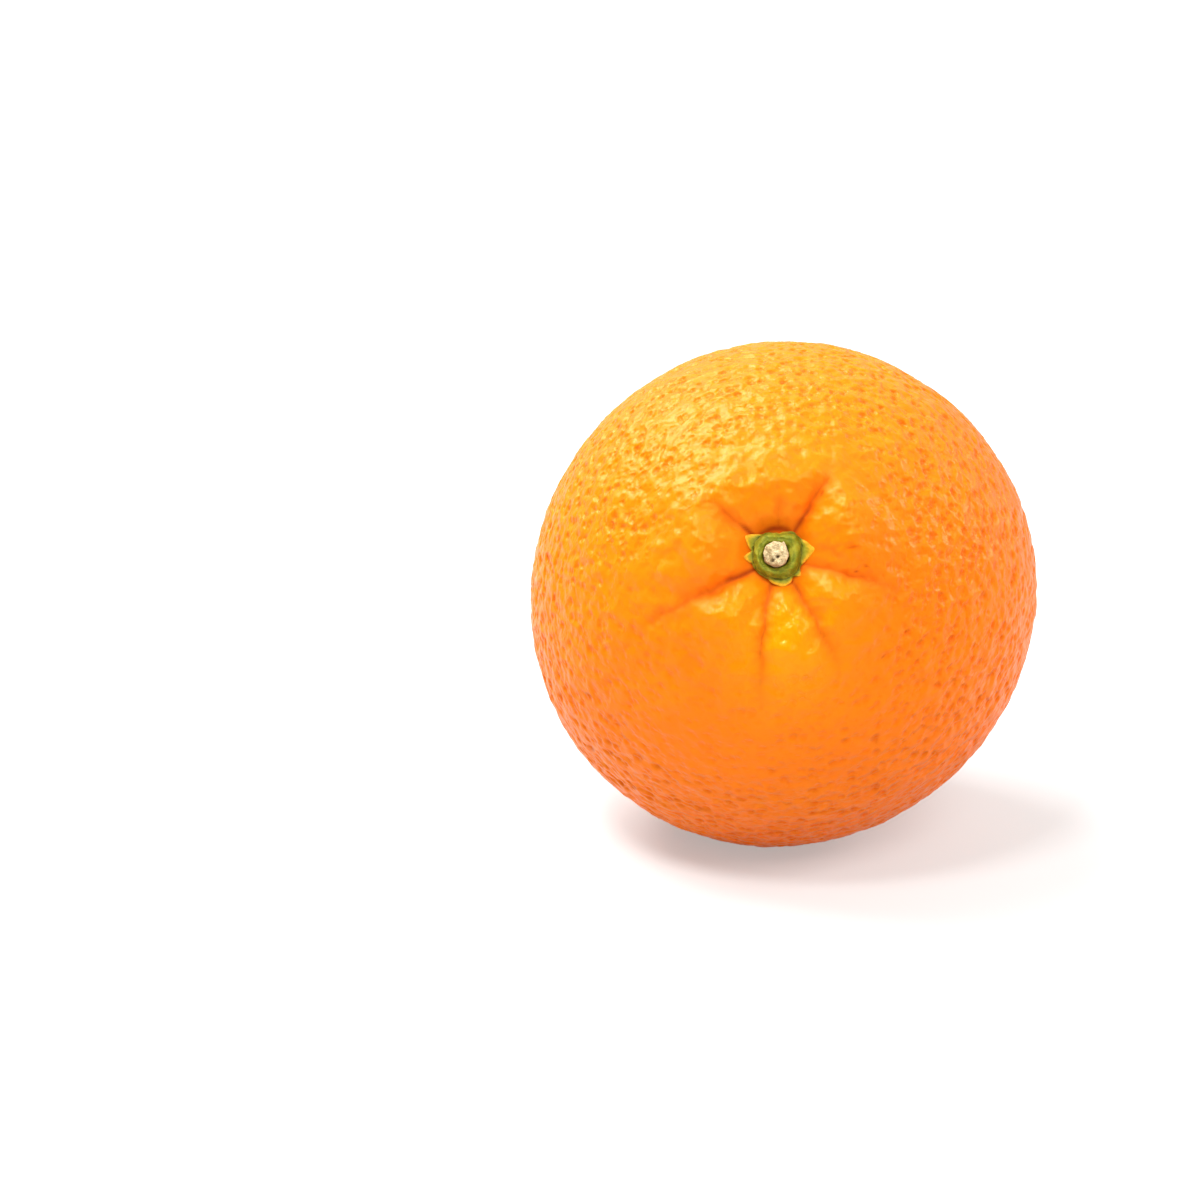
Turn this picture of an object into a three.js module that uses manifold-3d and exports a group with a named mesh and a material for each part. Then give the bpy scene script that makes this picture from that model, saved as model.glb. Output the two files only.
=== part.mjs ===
// A whole sweet orange lying on its side: the fruit, its green calyx and the cut end of its stalk.
//
// Millimetres, +Z up. The origin is the middle of the small flat spot that the fruit rests on.
// The pieces are modelled upright in the fruit's own frame, with the middle of the fruit at the origin
// and its stem end up, and the exported group leans them over until the stem end faces -Y and up a little.

import * as THREE from "three";
import { mergeVertices } from "three/addons/utils/BufferGeometryUtils.js";
import Module from "manifold-3d";

// The fruit.
const FRUIT_DIAMETER = 76; // across the equator
const FRUIT_HEIGHT = 73; // from end to end, before the ends are pressed in
const OVAL_SHARE = 0.012; // how far the equator is from a circle, as a share of its radius
const OVAL_ANGLE = 49; // degrees, where the equator is widest
const SWELL_SHARE = 0.004; // a three-sided swelling of the equator
const STEM_LEAN = 62; // degrees that the stem end leans from upright
const FLAT_SPOT_PRESS = 0.6; // how much the fruit is flattened where it rests
const BLOSSOM_SCAR_RADIUS = 2.2;
const BLOSSOM_SCAR_DEPTH = 0.7;

// The hollow at the stem end, and the furrows that run out of it.
const HOLLOW_DEPTH = 4.2;
const HOLLOW_WIDTH = 6.5; // the distance from the axis at which the hollow is down to a third
const FURROW_HALF_WIDTH = 1.1;
const FURROW_START = 2.5; // the distance from the axis at which furrows begin
const FURROW_FULL = 5; // the distance from the axis at which they are at their full depth
const FURROWS = [
  { angle: 6, depth: 0.35, reach: 12 },
  { angle: 55, depth: 1.1, reach: 16 },
  { angle: 90, depth: 0.4, reach: 11 },
  { angle: 142, depth: 0.75, reach: 13 },
  { angle: 207, depth: 1.1, reach: 17 },
  { angle: 265, depth: 1.2, reach: 17 },
  { angle: 301, depth: 0.9, reach: 14 },
  { angle: 343, depth: 0.8, reach: 17 },
];

// The calyx: a thick ring around the stalk, with pointed sepals that lie on the fruit.
const FIT_GAP = 0.3; // between the fruit, the calyx and the stalk
const RING_RADIUS = 3.9;
const RING_CREST_HEIGHT = 1.5; // above the floor of its socket
const SOCKET_FLOOR = 0.6; // the calyx's thickness under the stalk
const SEPAL_THICKNESS = 0.6;
const SEPAL_EDGE = 0.35;
const SEPAL_LEAST = 0.25; // how far the calyx reaches past its ring between two sepals
const SEPALS = [
  { angle: 5, reach: 1.9, halfWidth: 32 },
  { angle: 90, reach: 0.9, halfWidth: 40 },
  { angle: 160, reach: 1.7, halfWidth: 22 },
  { angle: 185, reach: 1.4, halfWidth: 20 },
  { angle: 280, reach: 1.1, halfWidth: 38 },
  { angle: 320, reach: 0.6, halfWidth: 14 },
];

// The cut end of the stalk, standing in the calyx's socket.
const STALK_RADIUS = 2;
const STALK_LENGTH = 2.2;
const STALK_ROUGHNESS = 0.12; // how far the cut is from flat

// How finely each piece is divided.
const FRUIT_SEGMENTS = 72;
const FRUIT_RINGS = 48;
const RING_CROWDING = 1.4; // over 1 puts more of the fruit's rings at its stem end
const CALYX_SEGMENTS = 72;
const STALK_SEGMENTS = 24;

const equatorRadius = FRUIT_DIAMETER / 2;
const poleHeight = FRUIT_HEIGHT / 2;
const socketRadius = STALK_RADIUS + FIT_GAP;

const radians = THREE.MathUtils.degToRad;
const bell = (x) => Math.exp(-x * x);

/** How far apart two directions around the axis are, in radians, from 0 to half a turn. */
function turnBetween(a, b) {
  const turn = Math.abs(a - b) % (2 * Math.PI);
  return Math.min(turn, 2 * Math.PI - turn);
}

/** The height of the stem end at a distance from the axis, leaving out the furrows. */
function seatHeight(distance) {
  const share = Math.min(distance / equatorRadius, 1);
  const hollow = HOLLOW_DEPTH * bell(distance / HOLLOW_WIDTH);
  return poleHeight * Math.sqrt(1 - share * share) - hollow;
}

/** How deep the furrows are at a distance from the axis, in a direction around it. */
function furrowDepth(distance, direction) {
  const start = THREE.MathUtils.smoothstep(distance, FURROW_START, FURROW_FULL);
  let depth = 0;
  for (const furrow of FURROWS) {
    const aside = distance * turnBetween(direction, radians(furrow.angle));
    const fade = 1 - THREE.MathUtils.smoothstep(distance, furrow.reach / 2, furrow.reach);
    depth = Math.max(depth, furrow.depth * start * fade * bell(aside / FURROW_HALF_WIDTH));
  }
  return depth;
}

/** A point of the fruit's skin: angle is from the stem end, direction is around the axis. */
function skinPoint(angle, direction) {
  const distance = equatorRadius * Math.sin(angle);
  const scar = BLOSSOM_SCAR_DEPTH * bell(distance / BLOSSOM_SCAR_RADIUS);
  const height =
    angle < Math.PI / 2
      ? seatHeight(distance) - furrowDepth(distance, direction)
      : poleHeight * Math.cos(angle) + scar;
  const oval = OVAL_SHARE * Math.cos(2 * (direction - radians(OVAL_ANGLE)));
  const swell = SWELL_SHARE * Math.cos(3 * direction);
  const spread = distance * (1 + (oval + swell) * Math.sin(angle) ** 2);
  return new THREE.Vector3(spread * Math.cos(direction), spread * Math.sin(direction), height);
}

/** A lathe around +Z, from a profile of [distance, height] pairs, as one closed mesh of shared points. */
function latheUpright(profile, segments) {
  const points = profile.map(([distance, height]) => new THREE.Vector2(distance, height));
  const geometry = new THREE.LatheGeometry(points, segments).rotateX(Math.PI / 2);
  return mergePoints(geometry);
}

/** The same geometry with only positions, and one point wherever several meet. */
function mergePoints(geometry) {
  geometry.deleteAttribute("normal");
  geometry.deleteAttribute("uv");
  return mergeVertices(geometry, 1e-4);
}

/** Moves each point of a geometry to where place(point) says. */
function movePoints(geometry, place) {
  const positions = geometry.getAttribute("position");
  const point = new THREE.Vector3();
  for (let i = 0; i < positions.count; i++) {
    const moved = place(point.fromBufferAttribute(positions, i));
    positions.setXYZ(i, moved.x, moved.y, moved.z);
  }
  return geometry;
}

/** The direction around the axis of a point, in radians. */
const directionOf = (point) => Math.atan2(point.y, point.x);

/** The fruit before it is flattened: a turned ball, pressed in at its ends and along its furrows. */
function fruitSkin() {
  const profile = [];
  for (let i = 0; i <= FRUIT_RINGS; i++) {
    const angle = Math.PI * (1 - i / FRUIT_RINGS) ** RING_CROWDING;
    profile.push([i % FRUIT_RINGS === 0 ? 0 : Math.sin(angle), Math.cos(angle)]);
  }
  return movePoints(latheUpright(profile, FRUIT_SEGMENTS), (point) =>
    skinPoint(Math.atan2(Math.hypot(point.x, point.y), point.z), directionOf(point)),
  );
}

/** How far the sepals reach past the ring, in a direction around the axis. */
function sepalReach(direction) {
  let reach = SEPAL_LEAST;
  for (const sepal of SEPALS) {
    const aside = turnBetween(direction, radians(sepal.angle)) / radians(sepal.halfWidth);
    reach = Math.max(reach, sepal.reach * (1 - aside));
  }
  return reach;
}

/** The top of the calyx's floor, which the stalk stands over. */
const socketFloorHeight = seatHeight(socketRadius) + FIT_GAP + SOCKET_FLOOR;

/** The calyx: a turned ring with a socket, and a rim that is drawn out into sepals along the fruit. */
function calyxShape() {
  const under = (distance) => seatHeight(distance) + FIT_GAP;
  const over = (distance, thickness) => under(distance) + thickness;
  const crest = socketFloorHeight + RING_CREST_HEIGHT;
  const middle = (socketRadius + RING_RADIUS) / 2;
  const round = (RING_RADIUS - socketRadius) / 4;
  const rim = RING_RADIUS + 1;
  const profile = [
    [0, under(0)],
    [socketRadius, under(socketRadius)],
    [middle, under(middle)],
    [RING_RADIUS, under(RING_RADIUS)],
    [RING_RADIUS + 0.5, under(RING_RADIUS + 0.5)],
    [rim, under(rim)],
    [rim, over(rim, SEPAL_EDGE)],
    [RING_RADIUS + 0.5, over(RING_RADIUS + 0.5, (SEPAL_THICKNESS + SEPAL_EDGE) / 2)],
    [RING_RADIUS, over(RING_RADIUS, SEPAL_THICKNESS)],
    [middle + 1.5 * round, crest - 2 * round],
    [middle + round, crest - round / 2],
    [middle, crest],
    [middle - round, crest - round / 2],
    [socketRadius, crest - 2 * round],
    [socketRadius, socketFloorHeight],
    [0, socketFloorHeight],
  ];
  return movePoints(latheUpright(profile, CALYX_SEGMENTS), (point) => {
    const distance = Math.hypot(point.x, point.y);
    if (distance <= RING_RADIUS + 1e-4) {
      return point;
    }
    const drawn = RING_RADIUS + (distance - RING_RADIUS) * sepalReach(directionOf(point));
    const lift = seatHeight(drawn) - seatHeight(distance);
    return point.set((point.x * drawn) / distance, (point.y * drawn) / distance, point.z + lift);
  });
}

/** The cut stalk: a short turned stub whose top is a rough, uneven cut. */
function stalkShape() {
  const bottom = socketFloorHeight + FIT_GAP;
  const top = bottom + STALK_LENGTH;
  const chamfer = STALK_RADIUS / 8;
  const profile = [
    [0, bottom],
    [STALK_RADIUS - chamfer, bottom],
    [STALK_RADIUS, bottom + chamfer],
    [STALK_RADIUS, top - chamfer],
    [STALK_RADIUS - chamfer, top],
    [STALK_RADIUS * 0.6, top],
    [STALK_RADIUS * 0.3, top - chamfer],
    [0, top - chamfer],
  ];
  return movePoints(latheUpright(profile, STALK_SEGMENTS), (point) => {
    if (point.z > top - 2 * chamfer) {
      point.z += STALK_ROUGHNESS * Math.sin(3 * point.x + 1) * Math.cos(4 * point.y);
    }
    return point;
  });
}

/** The turn that leans the upright fruit over, towards -Y. */
const lean = new THREE.Matrix4().makeRotationX(radians(STEM_LEAN));

/** The lowest point of a leaning geometry. */
function lowestPoint(geometry) {
  const positions = geometry.getAttribute("position");
  const lowest = new THREE.Vector3(0, 0, Infinity);
  const point = new THREE.Vector3();
  for (let i = 0; i < positions.count; i++) {
    point.fromBufferAttribute(positions, i).applyMatrix4(lean);
    if (point.z < lowest.z) {
      lowest.copy(point);
    }
  }
  return lowest;
}

const wasm = await Module();
wasm.setup();

/** A closed geometry as a solid that can be cut. */
function solidOf(geometry) {
  const merged = mergePoints(geometry.clone());
  return new wasm.Manifold(
    new wasm.Mesh({
      numProp: 3,
      vertProperties: new Float32Array(merged.getAttribute("position").array),
      triVerts: new Uint32Array(merged.index.array),
    }),
  );
}

/** A solid as a geometry. */
function geometryOf(solid) {
  const mesh = solid.getMesh();
  return new THREE.BufferGeometry()
    .setAttribute("position", new THREE.BufferAttribute(mesh.vertProperties, 3))
    .setIndex(new THREE.BufferAttribute(mesh.triVerts, 1));
}

/** The leaning fruit with everything under a level cut away, which leaves its flat spot. */
function flattened(geometry, level) {
  const leaning = geometry.clone().applyMatrix4(lean);
  const side = 2 * FRUIT_DIAMETER;
  const below = new THREE.BoxGeometry(side, side, side).translate(0, 0, level - side / 2);
  return geometryOf(solidOf(leaning).subtract(solidOf(below)));
}

/** The middle of the flat spot: the middle of the box around the points that lie on it. */
function flatSpotMiddle(geometry, level) {
  const positions = geometry.getAttribute("position");
  const box = new THREE.Box2();
  for (let i = 0; i < positions.count; i++) {
    if (Math.abs(positions.getZ(i) - level) < 1e-3) {
      box.expandByPoint(new THREE.Vector2(positions.getX(i), positions.getY(i)));
    }
  }
  return box.getCenter(new THREE.Vector2());
}

/** A named mesh in one plain colour. */
function piece(name, geometry, color, roughness) {
  const mesh = new THREE.Mesh(
    geometry,
    new THREE.MeshStandardMaterial({ color, roughness, metalness: 0 }),
  );
  mesh.name = name;
  return mesh;
}

const skin = fruitSkin();
const floorLevel = lowestPoint(skin).z + FLAT_SPOT_PRESS;
const fruitGeometry = flattened(skin, floorLevel);
const restingOn = flatSpotMiddle(fruitGeometry, floorLevel);

const fruit = piece("fruit", fruitGeometry, 0xff8c14, 0.42);
const calyx = piece("calyx", calyxShape().applyMatrix4(lean), 0x6d8a1c, 0.55);
const stalk = piece("stalk_end", stalkShape().applyMatrix4(lean), 0xd9c49a, 0.85);

const orange = new THREE.Group();
orange.add(fruit, calyx, stalk);
orange.position.set(-restingOn.x, -restingOn.y, -floorLevel);

export default orange;
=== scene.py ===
"""The looks of a whole sweet orange: its peel, the green calyx and the cut end of its stalk.

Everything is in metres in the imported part's own frame. The shapes are worked out in millimetres in the
fruit's own upright frame, whose middle is the middle of the fruit and whose +Z runs to the stem end, and
are then leaned over and moved to where the frame's boxes say that the fruit lies.
"""

import logging
import math
from dataclasses import dataclass
from enum import Enum

import bpy
import numpy as np
from mathutils import Matrix, Vector, noise


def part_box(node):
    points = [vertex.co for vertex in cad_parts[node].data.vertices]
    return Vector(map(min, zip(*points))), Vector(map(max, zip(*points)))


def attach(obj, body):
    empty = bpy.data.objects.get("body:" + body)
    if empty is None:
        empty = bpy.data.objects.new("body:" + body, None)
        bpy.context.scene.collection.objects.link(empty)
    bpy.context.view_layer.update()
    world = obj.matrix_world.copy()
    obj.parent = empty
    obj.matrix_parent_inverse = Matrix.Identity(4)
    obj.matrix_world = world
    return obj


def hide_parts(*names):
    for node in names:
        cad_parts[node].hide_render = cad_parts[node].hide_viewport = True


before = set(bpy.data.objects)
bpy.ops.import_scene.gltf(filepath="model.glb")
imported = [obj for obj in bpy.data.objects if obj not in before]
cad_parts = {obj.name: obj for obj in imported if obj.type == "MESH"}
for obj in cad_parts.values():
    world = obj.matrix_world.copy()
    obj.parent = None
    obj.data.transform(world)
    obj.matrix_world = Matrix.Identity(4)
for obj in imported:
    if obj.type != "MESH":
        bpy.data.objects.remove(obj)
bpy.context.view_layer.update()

log = logging.getLogger("orange")

MM = 0.001
TINY = 1e-6
STEM_HEIGHT = 34.5
BODY = "root"

Colour = tuple[float, float, float, float]
Socket = bpy.types.NodeSocket
Value = Socket | float


class Node(Enum):
    """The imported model's nodes that the pieces stand for."""

    FRUIT = "fruit"
    CALYX = "calyx"
    STALK = "stalk_end"


class Slot(Enum):
    """The record's material slots."""

    PEEL = "peel"
    CALYX = "calyx"
    STALK = "stalk"


class Mask(Enum):
    """Values from 0 to 1 that the peel's points carry, by the names that they carry them under."""

    PITTING = "pitting"  # how deep the oil glands are
    LUMPING = "lumping"  # how lumpy the lobes around the calyx are
    CREASE = "crease"  # painted shade: dark furrow bottoms, a ring at the calyx's seat and a painted shadow under its upper edge
    FURROW = "furrow"  # painted shade that makes the furrows' sides and the calyx's seat redder; it also makes them duller
    PALE = "pale"  # painted light: yellower where the light falls on the lobes below the calyx; also glossier there
    SPECK = "speck"  # the small brown marks
    SCAR = "scar"  # the dot at the far end


class Trace(Enum):
    """Values that the points of the calyx and the stalk carry, by the names that they carry them under."""

    RADIUS = "radius"  # the distance from the axis, in millimetres
    EDGE = "edge"  # the thin edges of the sepals, from 0 to 1
    DIP = "dip_shade"  # painted shade in grooves and holes, from 0 to 1


def bell(x: np.ndarray) -> np.ndarray:
    """A smooth hump, 1 at 0 and near 0 past 2."""
    return np.exp(-(x**2))


def smoothstep(x: np.ndarray, low: float, high: np.ndarray | float) -> np.ndarray:
    """A smooth rise from 0 at low to 1 at high."""
    share = np.clip((x - low) / (high - low), 0.0, 1.0)
    return share * share * (3.0 - 2.0 * share)


def turn_between(a: np.ndarray, b: np.ndarray | float) -> np.ndarray:
    """The signed turn from direction b to direction a, in radians, from minus to plus half a turn."""
    return (a - b + math.pi) % (2.0 * math.pi) - math.pi


def on_side(direction: np.ndarray, angle: float, spread: float = 0.9) -> np.ndarray:
    """How near directions around the stem axis are to one side.

    Args:
        direction: the directions, in radians.
        angle: the direction of the side, in degrees.
        spread: how far the side spreads, in radians.

    Returns:
        1 at the side, falling smoothly to near 0 past two spreads.
    """
    return bell(turn_between(direction, math.radians(angle)) / spread)


def lumps(points: np.ndarray, length: float, offset: float = 0.0) -> np.ndarray:
    """Smooth noise from about -1 to 1 at each point.

    Args:
        points: the points, one a row.
        length: about how far apart the lumps are.
        offset: a shift that gives another pattern.

    Returns:
        The noise at each point.
    """
    shifted = points / length + offset
    return np.array([noise.noise(Vector(point)) for point in shifted])


@dataclass(frozen=True)
class Furrow:
    """A furrow that runs out of the hollow at the stem end, in degrees and millimetres."""

    angle: float
    depth: float
    reach: float
    bend: float = 0.0
    # How dark painted shade makes the furrow's line near the calyx, and out to what distance.
    dark: float = 0.0
    dark_reach: float = 8.0


@dataclass(frozen=True)
class Speck:
    """A small brown mark on the peel near the calyx, in degrees and millimetres."""

    angle: float
    distance: float
    length: float
    width: float = 0.16


@dataclass(frozen=True)
class FruitForm:
    """The shape of the fruit about its own middle, upright, in millimetres."""

    diameter: float = 76.0
    height: float = 73.0
    oval_share: float = 0.012
    oval_angle: float = 49.0
    swell_share: float = 0.004
    lean: float = 62.0
    hollow_depth: float = 4.2
    hollow_width: float = 6.5
    seat_radius: float = 3.6
    collar_radius: float = 5.9
    collar_rise: float = 1.35
    upper_share: float = 0.35
    upper_angle: float = 100.0
    lower_angle: float = -85.0
    lobe_rise: float = 1.95
    lobe_middle: float = 11.0
    upper_lobe_shift: float = 3.0
    lower_lobe_shift: float = 1.8
    lobe_width: float = 4.6
    lower_lobe_widening: float = 0.2
    upper_lobe_lowering: float = 0.45
    lower_lobe_raising: float = 0.15
    valley_least: float = 0.9
    valley_spread: float = 0.14
    valley_near_share: float = 0.5
    valley_wide_share: float = 0.35
    valley_wide_spread: float = 2.4
    furrow_start: tuple[float, float] = (2.5, 5.5)
    furrow_full_depth: float = 1.1
    furrow_crease_share: float = 0.32
    furrow_trough_share: float = 0.36
    wander: tuple[float, float] = (0.16, 0.06)
    wander_start: tuple[float, float] = (5.0, 9.0)
    fold_height: float = 0.05
    fold_start: tuple[float, float] = (4.0, 6.0)
    fold_end: tuple[float, float] = (8.0, 13.0)
    crease_half_width: float = 0.55
    crease_power: float = 1.3
    # Painted shade: the dark lines along the furrows, their redder sides, the ring at the calyx's seat and
    # the shadow under its upper edge.
    dark_half_width: float = 0.341
    dark_power: float = 1.4
    dark_least: float = 0.42
    red_side_least: float = 0.5
    red_side_spread: float = 0.05
    seat_shadow: float = 0.5
    seat_shadow_width: float = 0.5
    upper_shadow_angle: float = 95.0
    upper_shadow_radius: float = 3.85
    upper_shadow_width: float = 0.42
    pit_least: float = 0.12
    pit_start: tuple[float, float] = (9.0, 24.0)
    smooth_angle: float = -115.0
    smooth_spread: float = 1.2
    smooth_share: float = 0.55
    smooth_end: tuple[float, float] = (28.0, 38.0)
    # Painted light on the lobes below the calyx, which are also made glossier.
    lit_lobes_spot: tuple[float, float] = (1.0, -12.5)
    lit_lobes_radius: float = 8.5
    lump_start: tuple[float, float] = (4.5, 8.0)
    lump_end: tuple[float, float] = (17.0, 30.0)
    scar_radius: float = 2.2
    scar_depth: float = 0.7
    furrows: tuple[Furrow, ...] = (
        Furrow(6, 0.30, 12, 0, 0.1, 12),
        Furrow(57, 1.10, 17, 2, 0.9, 10),
        Furrow(90, 0.40, 11, 0, 0.35, 6),
        Furrow(118, 0.25, 9, 0, 0.2, 6),
        Furrow(141, 0.80, 14, 4, 1.0, 8),
        Furrow(213, 1.15, 23, -6, 1.0, 10),
        Furrow(257, 1.30, 23, 9, 0.55, 10),
        Furrow(301, 1.10, 21, -1, 0.6, 9),
        Furrow(342, 0.95, 20, 5, 0.45, 8),
    )
    specks: tuple[Speck, ...] = (
        Speck(4.5, 10.6, 1.5, 0.16),
        Speck(353, 12.6, 0.7),
        Speck(348, 11.4, 0.6),
        Speck(341, 14.1, 0.5),
        Speck(55, 10.6, 0.8, 0.14),
        Speck(307, 13.7, 0.4),
        Speck(318, 20.5, 0.5),
    )

    @property
    def equator(self) -> float:
        """The radius across the equator."""
        return self.diameter / 2.0

    @property
    def pole(self) -> float:
        """The height of either end over the middle, before the ends are pressed in."""
        return self.height / 2.0

    @property
    def leaning(self) -> Matrix:
        """The turn that leans the upright fruit over towards -Y."""
        return Matrix.Rotation(math.radians(self.lean), 4, "X")

    def aside(self, furrow: Furrow, distance: np.ndarray, direction: np.ndarray) -> np.ndarray:
        """How far points lie to the side of a furrow.

        Args:
            furrow: the furrow.
            distance: the points' distances from the stem axis.
            direction: their directions around it, in radians.

        Returns:
            The distances from the furrow's line, along the skin.
        """
        bent = math.radians(furrow.angle) + math.radians(furrow.bend) * distance / furrow.reach
        wander = self.wander[0] * np.sin(distance * 1.1 + furrow.angle)
        wander += self.wander[1] * np.sin(distance * 2.7 - furrow.angle)
        wander *= smoothstep(distance, *self.wander_start)
        return np.abs(distance * turn_between(direction, bent) + wander)

    def seat_height(self, distance: np.ndarray) -> np.ndarray:
        """The height of the hollow stem end at a distance from the axis, without its lobes."""
        share = np.minimum(distance / self.equator, 1.0)
        return self.pole * np.sqrt(1.0 - share**2) - self.hollow_depth * bell(distance / self.hollow_width)

    def stem_height(self, distance: np.ndarray, direction: np.ndarray) -> np.ndarray:
        """The height of the stem end with the lobes and furrows around the calyx.

        Args:
            distance: the points' distances from the stem axis.
            direction: their directions around it, in radians.

        Returns:
            The heights over the middle of the fruit.
        """
        apart = np.ones_like(distance)
        cut = np.zeros_like(distance)
        for furrow in self.furrows:
            parting, depth = self._furrow_shape(furrow, distance, direction)
            apart *= 1.0 - parting
            cut = np.maximum(cut, depth)
        raised = self._lobe_height(distance, direction) * apart
        return self.seat_height(distance) + raised + self._fold_height(distance, direction) - cut

    def _furrow_shape(
        self, furrow: Furrow, distance: np.ndarray, direction: np.ndarray
    ) -> tuple[np.ndarray, np.ndarray]:
        """How a furrow parts the lobes and how deep it is.

        Args:
            furrow: the furrow.
            distance: the points' distances from the stem axis.
            direction: their directions around it, in radians.

        Returns:
            The share of the lobes' height that it takes away, and the depth that it is cut in.
        """
        aside = self.aside(furrow, distance, direction)
        width = self.valley_least + self.valley_spread * distance
        near = bell(aside / width)
        wide = bell(aside / (self.valley_wide_spread * width))
        fade = 1.0 - smoothstep(distance, furrow.reach / 2.0, furrow.reach)
        strength = min(furrow.depth / self.furrow_full_depth, 1.0) * fade
        parting = strength * (self.valley_near_share * near + self.valley_wide_share * wide)
        crease = np.exp(-((aside / self.crease_half_width) ** self.crease_power))
        depth = furrow.depth * smoothstep(distance, *self.furrow_start) * fade
        depth *= self.furrow_crease_share * crease + self.furrow_trough_share * near
        return parting, depth

    def _lobe_height(self, distance: np.ndarray, direction: np.ndarray) -> np.ndarray:
        """The height of the collar and the lobes around the calyx, before the furrows part them.

        Args:
            distance: the points' distances from the stem axis.
            direction: their directions around it, in radians.

        Returns:
            The heights over the hollow.
        """
        collar = self.collar_rise * smoothstep(distance, self.seat_radius, self.collar_radius)
        collar *= 1.0 + self.upper_share * np.cos(direction - math.pi / 2.0)
        collar *= 1.0 - smoothstep(distance, self.collar_radius, 3.0 * self.collar_radius)
        upper = on_side(direction, self.upper_angle)
        lower = on_side(direction, self.lower_angle)
        middle = self.lobe_middle + self.upper_lobe_shift * upper + self.lower_lobe_shift * lower
        width = self.lobe_width * (1.0 + upper + self.lower_lobe_widening * lower)
        lobes = self.lobe_rise * bell((distance - middle) / width)
        lobes *= smoothstep(distance, self.seat_radius, middle)
        lobes *= 1.0 - self.upper_lobe_lowering * upper + self.lower_lobe_raising * lower
        return collar + lobes

    def _fold_height(self, distance: np.ndarray, direction: np.ndarray) -> np.ndarray:
        """The height of the fine folds that run out from under the calyx.

        Args:
            distance: the points' distances from the stem axis.
            direction: their directions around it, in radians.

        Returns:
            The heights, half of them below 0.
        """
        folds = np.sin(11.0 * direction + 0.5) + 0.7 * np.sin(17.0 * direction + 2.0 + 0.3 * distance)
        folds *= self.fold_height * smoothstep(distance, *self.fold_start)
        return folds * (1.0 - smoothstep(distance, *self.fold_end))

    def skin(self, towards: np.ndarray) -> np.ndarray:
        """Points of the skin, before its fine relief.

        Args:
            towards: unit directions from the middle of the fruit, one a row.

        Returns:
            The points, one a row.
        """
        slant = np.hypot(towards[:, 0], towards[:, 1])
        direction = np.arctan2(towards[:, 1], towards[:, 0])
        distance = self.equator * slant
        front = self.stem_height(distance, direction)
        back = self.pole * towards[:, 2] + self.scar_depth * bell(distance / self.scar_radius)
        height = np.where(towards[:, 2] > 0.0, front, back)
        oval = self.oval_share * np.cos(2.0 * (direction - math.radians(self.oval_angle)))
        swell = self.swell_share * np.cos(3.0 * direction)
        spread = distance * (1.0 + (oval + swell) * slant**2)
        return np.column_stack([spread * np.cos(direction), spread * np.sin(direction), height])

    def masks(self, towards: np.ndarray) -> dict[Mask, np.ndarray]:
        """What the peel's points carry for its relief and its colours.

        Args:
            towards: unit directions from the middle of the fruit, one a row.

        Returns:
            For each mask, its value at each point.
        """
        slant = np.hypot(towards[:, 0], towards[:, 1])
        direction = np.arctan2(towards[:, 1], towards[:, 0])
        distance = self.equator * slant
        front = towards[:, 2] > 0.0
        crease, side_shade_and_dulling = self._furrow_marks(distance, direction)
        lumping = smoothstep(distance, *self.lump_start) * (1.0 - smoothstep(distance, *self.lump_end))
        x, y = self.lit_lobes_spot
        from_lit_lobes = np.hypot(distance * np.cos(direction) - x, distance * np.sin(direction) - y)
        return {
            Mask.PITTING: np.where(front, self._pitting(distance, direction), 1.0),
            Mask.LUMPING: np.where(front, lumping, 0.0),
            Mask.CREASE: np.where(front, crease, 0.0),
            Mask.FURROW: np.where(front, side_shade_and_dulling, 0.0),
            Mask.PALE: np.where(front, bell(from_lit_lobes / self.lit_lobes_radius), 0.0),
            Mask.SPECK: np.where(front, self._speck_marks(distance, direction), 0.0),
            Mask.SCAR: np.where(front, 0.0, bell(distance / (0.75 * self.scar_radius))),
        }

    def _furrow_marks(self, distance: np.ndarray, direction: np.ndarray) -> tuple[np.ndarray, np.ndarray]:
        """Where painted shade darkens the furrows, the calyx's seat and the peel under the calyx's upper
        edge, and where painted shade makes the furrows' sides redder.

        Args:
            distance: the points' distances from the stem axis.
            direction: their directions around it, in radians.

        Returns:
            The painted shade of the creases and of the furrows' sides, from 0 to 1.
        """
        # Painted shade: a dark ring at the calyx's seat, a painted shadow under its upper edge and dark
        # lines along the furrows.
        crease = self.seat_shadow * bell((distance - self.seat_radius) / self.seat_shadow_width)
        upper_shadow = bell((distance - self.upper_shadow_radius) / self.upper_shadow_width)
        crease = np.maximum(crease, on_side(direction, self.upper_shadow_angle) * upper_shadow)
        # Painted shade makes the calyx's seat and the furrows' sides redder; the same mask makes them
        # duller.
        side_shade_and_dulling = bell((distance - self.seat_radius) / 1.4)
        for furrow in self.furrows:
            aside = self.aside(furrow, distance, direction)
            dark = furrow.dark * (1.0 - smoothstep(distance, furrow.dark_reach * 0.7, furrow.dark_reach))
            shown = 1.0 - smoothstep(distance, furrow.reach * 0.6, furrow.reach)
            shown *= min(furrow.depth, 1.0)
            line = np.exp(-((aside / self.dark_half_width) ** self.dark_power))
            crease = np.maximum(crease, np.maximum(dark, self.dark_least * shown) * line)
            beside = bell(aside / (self.red_side_least + self.red_side_spread * distance))
            side_shade_and_dulling = np.maximum(side_shade_and_dulling, shown * beside)
        return crease, side_shade_and_dulling

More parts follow.
